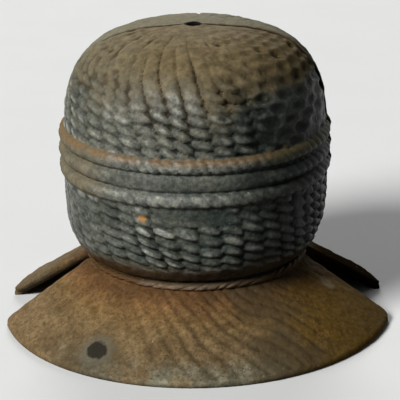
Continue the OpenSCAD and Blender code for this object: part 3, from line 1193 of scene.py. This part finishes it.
# Gloss of the castings
PAINT_ROUGH = 0.32
RUST_ROUGH = 0.77
GRAIN_ROUGH = 0.3
PLAIN_SHINE = 0.06
CREST_SHINE = 0.5
GRAIN_SHARE = 0.6
GRAIN_DEPTH = 0.5


def iron_material():
    """Worn black paint over rust, brown dust on top, orange rust on the band and a mottled brown foot, with
    painted shade and painted highlights.
    """
    n = Iron()
    ball = banded(n, dusted(n, painted(n)))
    colour = marked(n, n.mix(n.foot, ball, rusted(n)))
    n.link(colour, n.shader.inputs["Base Color"])
    matt = n.math("MAXIMUM", n.where(dusty=(0.1, 0.7)), n.foot)
    rough = n.total(n.grade(matt, PAINT_ROUGH, RUST_ROUGH), n.ragged("grain", GRAIN_ROUGH))
    n.link(rough, n.shader.inputs["Roughness"])
    glint = n.times(n.crest_highlight, n.grade(matt, CREST_SHINE, 0))
    n.link(n.total(n.grade(n.shaded, PLAIN_SHINE, 0), glint), n.shader.inputs["Specular IOR Level"])
    n.bump(n.times(n.total(n.measures["grain"], n.measures["fine"]), GRAIN_SHARE), GRAIN_DEPTH)
    return n.material


# Pins and floor
STEEL = (0.20, 0.18, 0.16)
STEEL_RUST = (0.12, 0.075, 0.04)
STEEL_ROUGH = 0.35
STEEL_RUST_ROUGH = 0.75
STEEL_METALLIC = 0.8
STEEL_GRAIN_DEPTH = 0.08
FLOOR_GREY = (0.635, 0.645, 0.635)
FLOOR_PALE = (0.690, 0.690, 0.680)
FLOOR_BOUNCE = (0.06, 0.06, 0.06)
FLOOR_ROUGH = 0.9


def pin_material():
    """Dull steel rod with a thin brown film of rust."""
    n = Nodes("rusted_steel")
    film = n.noise(3, detail=5)
    colour = n.mix(n.step(film, 0.35, 0.65), STEEL, STEEL_RUST)
    n.link(colour, n.shader.inputs["Base Color"])
    n.link(n.grade(film, STEEL_ROUGH, STEEL_RUST_ROUGH), n.shader.inputs["Roughness"])
    n.shader.inputs["Metallic"].default_value = STEEL_METALLIC
    n.bump(n.noise(0.8, detail=3, lift=3.0), STEEL_GRAIN_DEPTH)
    return n.material


def seen_directly(tree):
    """1 for what the camera sees, in a gloss and through glass too, and 0 for light that bounces on."""
    path = tree.nodes.new("ShaderNodeLightPath")
    seen = path.outputs["Is Camera Ray"]
    for name in ("Is Glossy Ray", "Is Transmission Ray"):
        either = tree.nodes.new("ShaderNodeMath")
        either.operation = "MAXIMUM"
        tree.links.new(seen, either.inputs[0])
        tree.links.new(path.outputs[name], either.inputs[1])
        seen = either.outputs[0]
    return seen


def floor_material():
    """A pale floor that throws little light back on the object."""
    n = Nodes("pale_floor")
    pale = n.mix(n.noise(60, detail=3), FLOOR_GREY, FLOOR_PALE)
    n.link(n.mix(seen_directly(n.tree), FLOOR_BOUNCE, pale), n.shader.inputs["Base Color"])
    n.shader.inputs["Roughness"].default_value = FLOOR_ROUGH
    return n.material


iron = iron_material()
for piece in (front_casting, rear_casting):
    piece.data.materials.clear()
    piece.data.materials.append(iron)
pin_finish = pin_material()
for name in ("hinge_pin_left", "hinge_pin_right"):
    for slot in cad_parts[name].material_slots:
        slot.material = pin_finish


# Floor and light, in metres and watts
FLOOR_SIZE = 6.0
LIT_AT = (0, 0, 0.07)
KEY_AT = (-6.0, -5.7, 6.3)
KEY_SIZE = 3.9
KEY_POWER = 1530
BACK_AT = (0, 6.0, 3.0)
BACK_SIZE = 3.2
BACK_POWER = 240
SKY_COLOUR = (0.63, 0.66, 0.64, 1)
SKY_SEEN = 1.0
SKY_BOUNCED = 0.05


def floor():
    """A square floor at the height that the feet stand on."""
    mesh = bpy.data.meshes.new("floor")
    half = FLOOR_SIZE / 2
    corners = [(-half, -half, 0), (half, -half, 0), (half, half, 0), (-half, half, 0)]
    mesh.from_pydata(corners, [], [(0, 1, 2, 3)])
    mesh.materials.append(floor_material())
    add_object("floor", mesh)


def area_light(name, place, size, power):
    """A round lamp that points at the object."""
    data = bpy.data.lights.new(name, "AREA")
    data.shape = "DISK"
    data.size = size
    data.energy = power
    lamp = add_object(name, data)
    lamp.location = place
    lamp.rotation_euler = (Vector(LIT_AT) - Vector(place)).to_track_quat("-Z", "Y").to_euler()


def lights():
    """A key light from the left, a weaker one from behind, and a pale background that lights little."""
    area_light("key", KEY_AT, KEY_SIZE, KEY_POWER)
    area_light("back", BACK_AT, BACK_SIZE, BACK_POWER)
    world = bpy.data.worlds.new("studio")
    world.use_nodes = True
    tree = world.node_tree
    sky = tree.nodes["Background"]
    sky.inputs["Color"].default_value = SKY_COLOUR
    strength = tree.nodes.new("ShaderNodeMapRange")
    strength.inputs["To Min"].default_value = SKY_BOUNCED
    strength.inputs["To Max"].default_value = SKY_SEEN
    tree.links.new(seen_directly(tree), strength.inputs["Value"])
    tree.links.new(strength.outputs["Result"], sky.inputs["Strength"])
    bpy.context.scene.world = world


# Camera at the photograph's viewing angle; the picture is square
PICTURE = 400
CAMERA_AT = (0, -0.8, 0.338)
CAMERA_DOWN = math.radians(19.6)
CAMERA_ROLL = math.radians(-0.94)
FOCAL_PX = 1844
AXIS_X_PX = 195.7
SENSOR = 36
CLIP_START = 0.01


def camera():
    """A camera that sees the object as the photograph does."""
    data = bpy.data.cameras.new("camera")
    data.sensor_width = SENSOR
    data.lens = FOCAL_PX / PICTURE * SENSOR
    data.shift_x = (PICTURE / 2 - AXIS_X_PX) / PICTURE
    data.clip_start = CLIP_START
    view = add_object("camera", data)
    turn = Matrix.Rotation(math.pi / 2 - CAMERA_DOWN, 4, "X") @ Matrix.Rotation(CAMERA_ROLL, 4, "Z")
    view.matrix_world = Matrix.Translation(CAMERA_AT) @ turn
    bpy.context.scene.camera = view


floor()
lights()
camera()
bpy.context.scene.view_settings.view_transform = "Standard"
